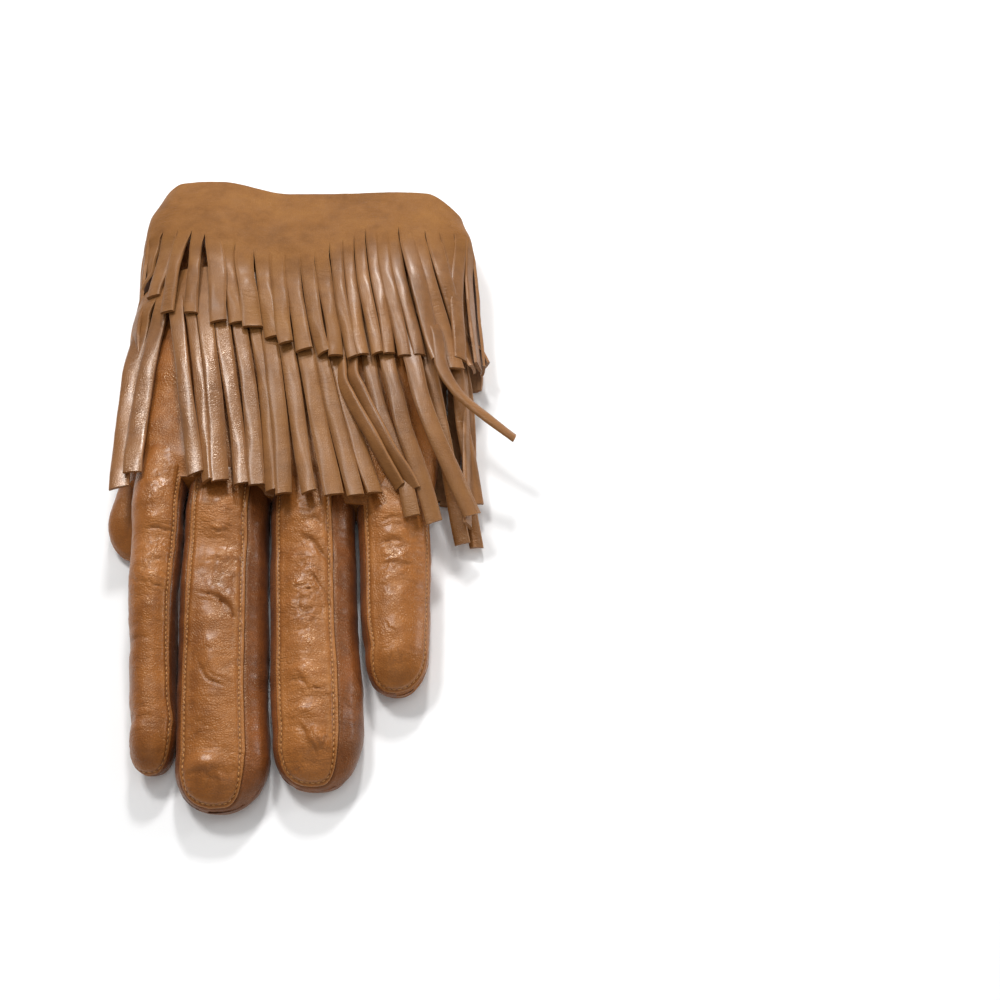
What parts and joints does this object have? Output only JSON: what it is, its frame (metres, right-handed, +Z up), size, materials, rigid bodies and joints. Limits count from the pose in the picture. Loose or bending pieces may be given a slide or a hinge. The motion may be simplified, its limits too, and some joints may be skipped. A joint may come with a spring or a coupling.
{
  "type": "fringed leather glove",
  "caption": "Short left-hand dress glove in smooth tan leather, lying back up, with two tiers of cut leather fringe round its cuff.",
  "frame": {"origin": "middle of the glove's box, on the surface it lies on", "axes": "+Z up from the palm to the back of the hand, -Y to the fingertips, +Y to the open cuff, +X to the little finger's side"},
  "size_m": [0.106, 0.196, 0.0267],
  "materials": {
    "smooth_leather": "satin",
    "fringe_leather": "satin, cut edges matt",
    "seam_thread": "matt"
  },
  "bodies": {
    "root": {"trank": "smooth_leather", "fourchette_index_middle": "smooth_leather", "fourchette_middle_ring": "smooth_leather", "fourchette_ring_little": "smooth_leather", "thumb": "smooth_leather", "upper_fringe": "fringe_leather", "lower_fringe": "fringe_leather"}
  },
  "joints": []
}
